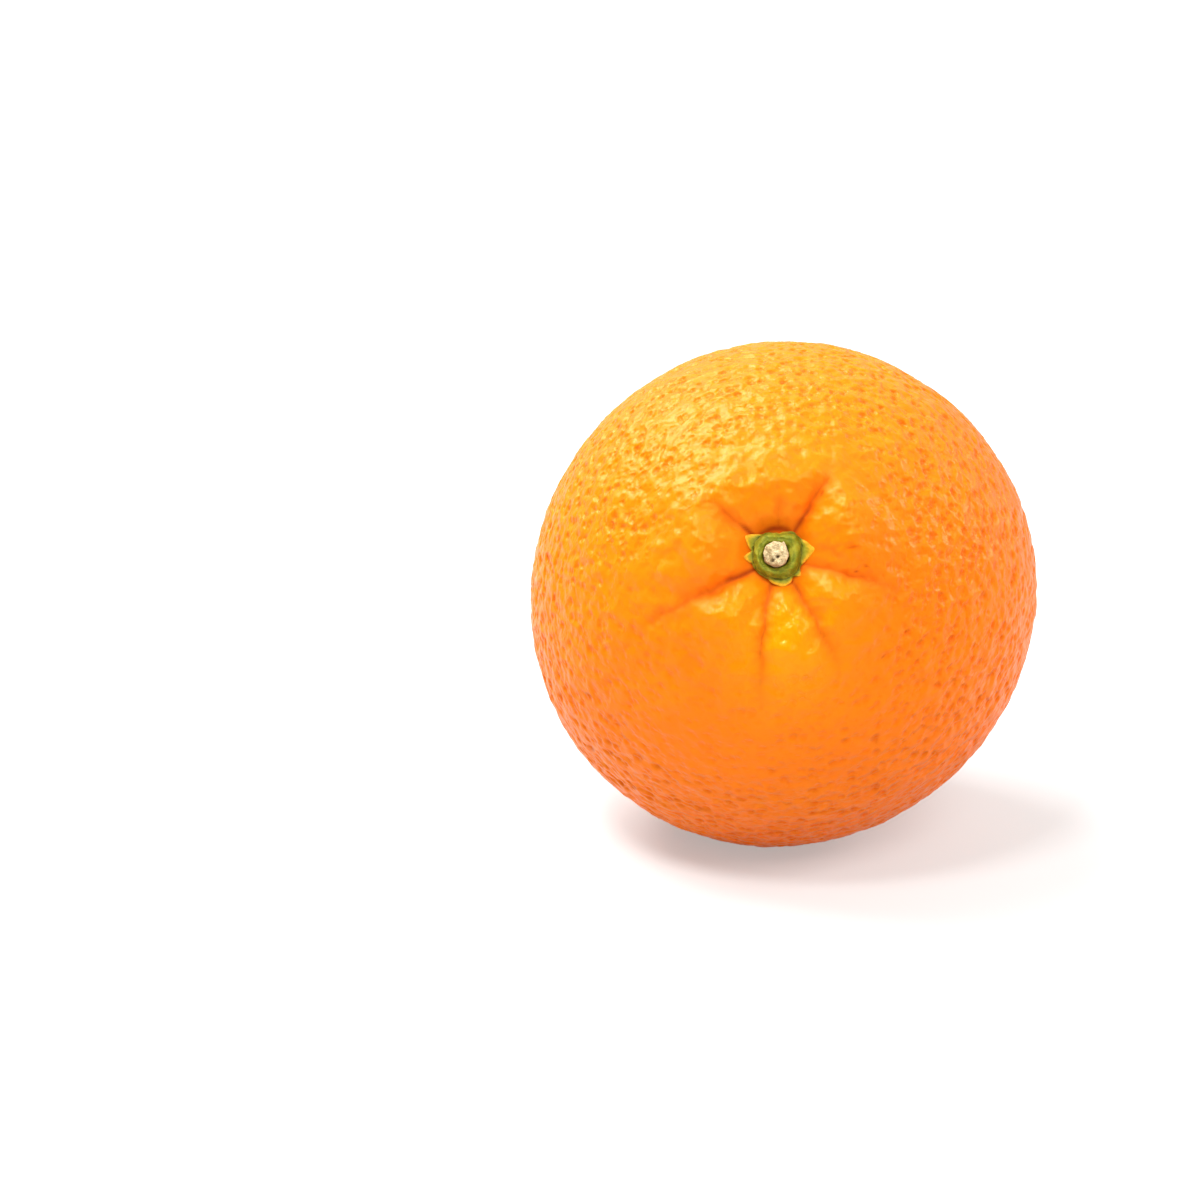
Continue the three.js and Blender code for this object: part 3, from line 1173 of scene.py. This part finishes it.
@dataclass
class Calyx:
    """The calyx: a thick, uneven ring around the stalk and the sepals that lie on the peel."""

    pose: Pose
    off_axis: tuple[float, float] = (-0.18, -0.25)
    socket_radius: float = 1.71
    ring_radius: float = 3.42
    socket_floor: float = 0.9
    crest_height: float = 1.45
    skirt_gap: float = 0.08
    skirt_width: float = 0.48
    skirt_thickness: float = 0.42
    skirt_lift: float = 0.05
    least_reach: float = 0.18
    around: int = 128
    sepals: tuple[Sepal, ...] = (
        Sepal(8, 1.95, 33, 1.0),
        Sepal(86, 0.45, 44, 0.5),
        Sepal(151, 1.75, 25, 1.0),
        Sepal(186, 1.50, 17, 1.0),
        Sepal(278, 1.25, 27, 0.45),
        Sepal(319, 0.75, 12, 0.9),
    )

    def build(self) -> bpy.types.Object:
        """Models the calyx.

        Returns:
            The calyx, in place.
        """
        seat = float(self.pose.form.seat_height(np.array([self.socket_radius]))[0])
        floor = seat + self.socket_floor
        crest = floor + self.crest_height
        (start_radius, start_height), *outline = self._outline(floor, crest)
        bpy.ops.object.select_all(action="DESELECT")
        bpy.ops.mesh.primitive_circle_add(
            vertices=self.around, radius=start_radius, fill_type="NGON", location=(0, 0, start_height)
        )
        piece = bpy.context.active_object
        piece.name = "calyx_ring"
        bpy.ops.object.transform_apply(location=True, rotation=False, scale=False)
        bpy.ops.object.mode_set(mode="EDIT")
        bpy.ops.mesh.select_mode(type="EDGE")
        bpy.ops.mesh.select_all(action="SELECT")
        bpy.ops.mesh.region_to_loop()
        radius, height = start_radius, start_height
        for next_radius, next_height in outline:
            bpy.ops.mesh.extrude_edges_move(
                TRANSFORM_OT_translate={"value": (0.0, 0.0, next_height - height)}
            )
            grow = next_radius / radius
            bpy.ops.transform.resize(value=(grow, grow, 1.0), center_override=(0.0, 0.0, next_height))
            radius, height = next_radius, next_height
        bpy.ops.mesh.edge_face_add()
        bpy.ops.mesh.select_all(action="SELECT")
        bpy.ops.mesh.normals_make_consistent(inside=False)
        bpy.ops.object.mode_set(mode="OBJECT")
        self._draw_out(piece, crest)
        return piece

    def _outline(self, floor: float, crest: float) -> list[tuple[float, float]]:
        """The calyx cut through its axis: socket, ring, the top of the skirt and its underside.

        Args:
            floor: the height of the socket's floor.
            crest: the height of the ring.

        Returns:
            The radius and height of each loop.
        """
        wide = self.ring_radius - self.socket_radius
        ring = [
            (self.socket_radius, floor),
            (self.socket_radius, floor + 0.6 * self.crest_height),
            (self.socket_radius + 0.10 * wide, crest - 0.22),
            (self.socket_radius + 0.30 * wide, crest - 0.03),
            (self.socket_radius + 0.52 * wide, crest),
            (self.socket_radius + 0.76 * wide, crest - 0.18),
            (self.socket_radius + 0.93 * wide, crest - 0.55),
            (self.ring_radius, crest - 0.95),
        ]
        step = self.skirt_width / 4.0
        skirt = [(self.ring_radius + self.skirt_gap + step * i, crest - 1.0) for i in range(5)]
        under = [(self.ring_radius + 0.6 - 0.3 * i, crest - 1.3) for i in range(4)]
        return ring + skirt + under

    def _reach(self, direction: np.ndarray) -> np.ndarray:
        """How far the skirt is drawn out in each direction, in radians around the axis.

        Args:
            direction: the directions.

        Returns:
            The lengths past its first loop.
        """
        reach = np.full_like(direction, self.least_reach)
        for sepal in self.sepals:
            aside = np.abs(turn_between(direction, math.radians(sepal.angle)))
            inside = np.clip(1.0 - aside / math.radians(sepal.half_width), 0.0, 1.0)
            reach = np.maximum(reach, sepal.reach * inside**sepal.sharp)
        return reach

    def _widening(self, points: np.ndarray, direction: np.ndarray) -> np.ndarray:
        """How much wider than round the calyx is: flat at the top, with two shoulders, and uneven.

        Args:
            points: its points, one a row.
            direction: their directions around the axis, in radians.

        Returns:
            The share of its radius that each point moves out.
        """
        upper = np.maximum(np.sin(direction), 0.0)
        widening = (0.03 + 0.08 * upper) * np.cos(4.0 * (direction - math.pi / 4.0))
        widening += 0.03 * np.cos(2.0 * direction)
        return widening + 0.10 * lumps(points, 2.4, 5.3) + 0.04 * lumps(points, 0.7, 1.3)

    def _draw_out(self, piece: bpy.types.Object, crest: float) -> None:
        """Lays the skirt on the peel, draws it out into sepals and makes the ring uneven.

        Args:
            piece: the upright calyx, in millimetres.
            crest: the height of its ring.
        """
        form = self.pose.form
        points = points_of(piece)
        distance = np.hypot(points[:, 0], points[:, 1])
        direction = np.arctan2(points[:, 1], points[:, 0])
        reach = self._reach(direction)
        first = self.ring_radius + self.skirt_gap
        share = np.clip((distance - first) / self.skirt_width, 0.0, 1.0)
        under = points[:, 2] < crest - 1.15
        skirt = (distance > first - TINY) | under
        outside = distance > self.socket_radius - TINY
        drawn = np.where(skirt & (distance > first), first + share * reach, distance)
        drawn = np.where(outside, drawn * (1.0 + self._widening(points, direction)), drawn)
        thickness = self.skirt_thickness * (1.0 - 0.75 * share)
        lying = np.maximum(form.stem_height(drawn, direction), form.seat_height(drawn))
        top = lying + self.skirt_lift + thickness
        wobble = 0.34 * lumps(points, 1.9, 3.7) + 0.16 * lumps(points, 0.8, 8.1)
        height = np.where(skirt, np.where(under, top - thickness - 0.25, top), points[:, 2])
        height = height + np.where(outside & ~skirt, wobble, 0.0)
        grow = np.where(distance > 0, drawn / np.maximum(distance, TINY), 1.0)
        inner = 1.0 - smoothstep(distance, self.socket_radius, self.ring_radius)
        x = points[:, 0] * grow + inner * self.off_axis[0]
        y = points[:, 1] * grow + inner * self.off_axis[1]
        points = np.column_stack([x, y, height])
        shown = skirt & ~under
        edge = np.where(shown, smoothstep(share, 0.3, 0.85) * smoothstep(reach, 0.25, 0.6), 0.0)
        # Painted shade in the groove between the ring and the skirt, and in the socket.
        groove_shade = np.where(shown, 0.8 * bell((distance - first) / self.skirt_gap), 0.0)
        dip_shade = np.maximum(groove_shade, np.where(distance < self.socket_radius + 0.05, 0.5, 0.0))
        carry(piece, Trace.RADIUS, distance)
        carry(piece, Trace.EDGE, edge)
        carry(piece, Trace.DIP, dip_shade)
        move_points(piece, points)
        modifier = piece.modifiers.new("rounding", "SUBSURF")
        modifier.levels = 2
        modifier.render_levels = 2
        only(piece)
        bpy.ops.object.modifier_apply(modifier=modifier.name)
        move_points(piece, self.pose.placed(points_of(piece)))


@dataclass
class StalkEnd:
    """The stub of the stalk, standing in the calyx, with a rough cut on top."""

    pose: Pose
    radius: float = 1.80
    length: float = 2.2
    top_height: float = 36.15
    off_axis: tuple[float, float] = (-0.18, -0.25)
    around: int = 32
    insets: int = 6
    holes: tuple[tuple[float, float, float], ...] = ((0.25, -0.45, 0.22), (-0.4, -1.05, 0.26))
    hole_depth: float = 0.7
    splinter: tuple[float, float, float] = (1.2, 1.5, 0.28)
    splinter_height: float = 0.5
    splinter_lean: float = 0.6

    def build(self) -> bpy.types.Object:
        """Models the stub.

        Returns:
            The stub, in place.
        """
        bpy.ops.object.select_all(action="DESELECT")
        bpy.ops.mesh.primitive_cylinder_add(
            vertices=self.around,
            radius=self.radius,
            depth=self.length,
            location=(*self.off_axis, self.top_height - self.length / 2.0),
        )
        piece = bpy.context.active_object
        piece.name = "stalk_stub"
        bpy.ops.object.transform_apply(location=True, rotation=False, scale=False)
        bpy.ops.object.mode_set(mode="EDIT")
        bpy.ops.mesh.select_mode(type="FACE")
        bpy.ops.mesh.select_all(action="DESELECT")
        bpy.ops.object.mode_set(mode="OBJECT")
        for face in piece.data.polygons:
            face.select = face.normal.z > 0.9
        bpy.ops.object.mode_set(mode="EDIT")
        for _ in range(self.insets):
            bpy.ops.mesh.inset(thickness=self.radius / (self.insets + 1.0))
        bpy.ops.mesh.poke()
        bpy.ops.object.mode_set(mode="OBJECT")
        modifier = piece.modifiers.new("rounding", "SUBSURF")
        modifier.levels = 3
        modifier.render_levels = 3
        only(piece)
        bpy.ops.object.modifier_apply(modifier=modifier.name)
        self._roughen(piece)
        return piece

    def _roughen(self, piece: bpy.types.Object) -> None:
        """Makes the cut uneven, with two holes and a splinter left standing.

        Args:
            piece: the upright stub, in millimetres. It is moved to its place.
        """
        points = points_of(piece)
        x = points[:, 0] - self.off_axis[0]
        y = points[:, 1] - self.off_axis[1]
        top = smoothstep(points[:, 2], self.top_height - 0.6, self.top_height - 0.2)
        flat = points * np.array([1.0, 1.0, 0.0])
        rough = 0.30 * lumps(flat, 0.9, 2.2) + 0.22 * lumps(flat, 0.4, 6.6) + 0.10 * lumps(flat, 0.2, 9.9)
        holes = sum(self._spot(x, y, hole) for hole in self.holes)
        splinter = self._spot(x, y, self.splinter)
        points[:, 2] += top * (rough - self.hole_depth * holes + self.splinter_height * splinter)
        ragged = 1.0 + 0.09 * lumps(points, 0.8, 4.4) + 0.05 * lumps(points, 0.35, 1.1)
        points[:, 0] = self.off_axis[0] + x * ragged
        points[:, 1] = self.off_axis[1] + y * ragged + self.splinter_lean * top * splinter
        # Painted shade in the holes and along the rim, except at the splinter.
        rim = smoothstep(np.hypot(x, y), 0.93 * self.radius, self.radius)
        dip_shade = top * holes + 0.4 * rim * (1.0 - splinter)
        carry(piece, Trace.DIP, np.clip(dip_shade, 0.0, 1.0))
        move_points(piece, self.pose.placed(points))

    def _spot(self, x: np.ndarray, y: np.ndarray, spot: tuple[float, float, float]) -> np.ndarray:
        """A round spot on the cut: 1 at its middle and near 0 past two of its radii.

        Args:
            x: the points' places across the stub.
            y: their places up it.
            spot: the spot's middle and its radius.

        Returns:
            The spot's value at each point.
        """
        return bell(np.hypot(x - spot[0], y - spot[1]) / spot[2])


@dataclass(frozen=True)
class SoftBox:
    """A square soft light that faces the fruit, in metres and watts."""

    name: str
    towards: tuple[float, float, float]
    distance: float
    side: float
    power: float

    def build(self, middle: Vector) -> None:
        """Adds the light.

        Args:
            middle: the middle of the fruit.
        """
        direction = Vector(self.towards).normalized()
        bpy.ops.object.light_add(type="AREA", location=middle + direction * self.distance)
        light = bpy.context.active_object
        light.name = self.name
        light.rotation_euler = direction.to_track_quat("Z", "Y").to_euler()
        light.data.shape = "SQUARE"
        light.data.size = self.side
        light.data.energy = self.power


@dataclass
class Studio:
    """The floor, the lights and the camera."""

    pose: Pose
    lens: float = 100.0
    sensor: float = 36.0
    view_width: float = 0.182
    elevation: float = 18.6
    azimuth: float = 1.25
    right_share: float = 0.1512
    up_share: float = 0.008
    front_glow: float = 0.20
    back_glow: float = 0.70
    floor_glow: float = 0.50
    floor_side: float = 12.0
    floor_grey: Colour = (0.52, 0.52, 0.52, 1.0)
    floor_light: Colour = (0.35, 0.375, 0.37, 1.0)
    far_floor_glow: float = 2.8
    lights: tuple[SoftBox, ...] = (
        SoftBox("key_light", (-0.50, 0.22, 0.84), 0.80, 0.56, 9.8),
        SoftBox("front_light", (0.35, -0.58, 0.72), 1.40, 0.55, 7.7),
        SoftBox("glint_light", (-0.28, -0.45, 0.85), 0.95, 0.20, 3.9),
        SoftBox("rim_light", (0.90, 0.30, 0.40), 0.80, 0.28, 1.6),
    )

    def build(self) -> None:
        """Sets up the whole studio."""
        self._floor()
        self._world()
        for light in self.lights:
            light.build(self.pose.middle)
        self._camera()
        bpy.context.scene.view_settings.view_transform = "Standard"
        bpy.context.scene.view_settings.look = "None"

    def _floor(self) -> None:
        """A wide, plain, pale floor."""
        bpy.ops.mesh.primitive_plane_add(size=self.floor_side)
        floor = bpy.context.active_object
        floor.name = "floor"
        material = bpy.data.materials.new("floor_white")
        material.use_nodes = True
        wiring = Wiring(material.node_tree)
        away = wiring.vector("LENGTH", wiring.add("ShaderNodeTexCoord").outputs["Object"]).outputs["Value"]
        seen = wiring.add("ShaderNodeLightPath").outputs["Is Camera Ray"]
        glow = wiring.math("MULTIPLY", wiring.ramp(away, 0.2, 0.9, (1.0, self.far_floor_glow)), seen)
        glow = wiring.math("MAXIMUM", glow, self.floor_glow)
        shader = wiring.add("ShaderNodeBsdfPrincipled")
        shader.inputs["Base Color"].default_value = self.floor_grey
        shader.inputs["Emission Color"].default_value = self.floor_light
        wiring.feed(shader.inputs["Emission Strength"], glow)
        shader.inputs["Roughness"].default_value = 0.9
        shader.inputs["Specular IOR Level"].default_value = 0.1
        wiring.feed(wiring.add("ShaderNodeOutputMaterial").inputs["Surface"], shader.outputs[0])
        floor.data.materials.append(material)

    def _world(self) -> None:
        """A white surround that gives most light from behind and beside the fruit."""
        world = bpy.data.worlds.new("surround")
        world.use_nodes = True
        wiring = Wiring(world.node_tree)
        towards = wiring.add("ShaderNodeTexCoord").outputs["Generated"]
        behind = wiring.vector("DOT_PRODUCT", towards, (0.75, 0.66, 0.0)).outputs["Value"]
        strength = wiring.ramp(behind, -0.7, 0.5, (self.front_glow, self.back_glow))
        seen = wiring.add("ShaderNodeLightPath").outputs["Is Camera Ray"]
        strength = wiring.math("MAXIMUM", strength, seen)
        background = wiring.add("ShaderNodeBackground")
        wiring.feed(background.inputs["Strength"], strength)
        background.inputs["Color"].default_value = (1.0, 1.0, 1.0, 1.0)
        wiring.feed(wiring.add("ShaderNodeOutputWorld").inputs["Surface"], background.outputs[0])
        bpy.context.scene.world = world

    def _camera(self) -> None:
        """Places the camera at its angle, with the fruit a little to the right of the middle."""
        elevation = math.radians(self.elevation)
        azimuth = math.radians(self.azimuth)
        away = Vector(
            (
                math.sin(azimuth) * math.cos(elevation),
                -math.cos(azimuth) * math.cos(elevation),
                math.sin(elevation),
            )
        )
        right = Vector((math.cos(azimuth), math.sin(azimuth), 0.0))
        up = away.cross(right)
        distance = self.view_width * self.lens / self.sensor
        shift = right * self.right_share + up * self.up_share
        spot = self.pose.middle - shift * self.view_width
        eye = self.pose.middle + away * distance
        bpy.ops.object.camera_add(location=eye)
        camera = bpy.context.active_object
        camera.name = "camera"
        camera.rotation_euler = (eye - spot).to_track_quat("Z", "Y").to_euler()
        camera.data.lens = self.lens
        camera.data.sensor_width = self.sensor
        bpy.context.scene.camera = camera


def main() -> None:
    """Builds the orange piece by piece and the studio around it."""
    logging.basicConfig(level=logging.INFO, format="%(name)s: %(message)s")
    form = FruitForm()
    pose = find_pose(form)
    relief = Relief()
    peel = Peel(pose, relief).build()
    finish_piece(peel, Node.FRUIT, PeelFinish(relief).build(pose))
    stem = pose.middle + form.leaning @ Vector((0.0, 0.0, STEM_HEIGHT * MM))
    calyx = Calyx(pose).build()
    finish_piece(calyx, Node.CALYX, CalyxFinish().build(stem))
    stalk = StalkEnd(pose).build()
    finish_piece(stalk, Node.STALK, StalkFinish().build(stem))
    Studio(pose).build()


if __name__ == "__main__":
    main()
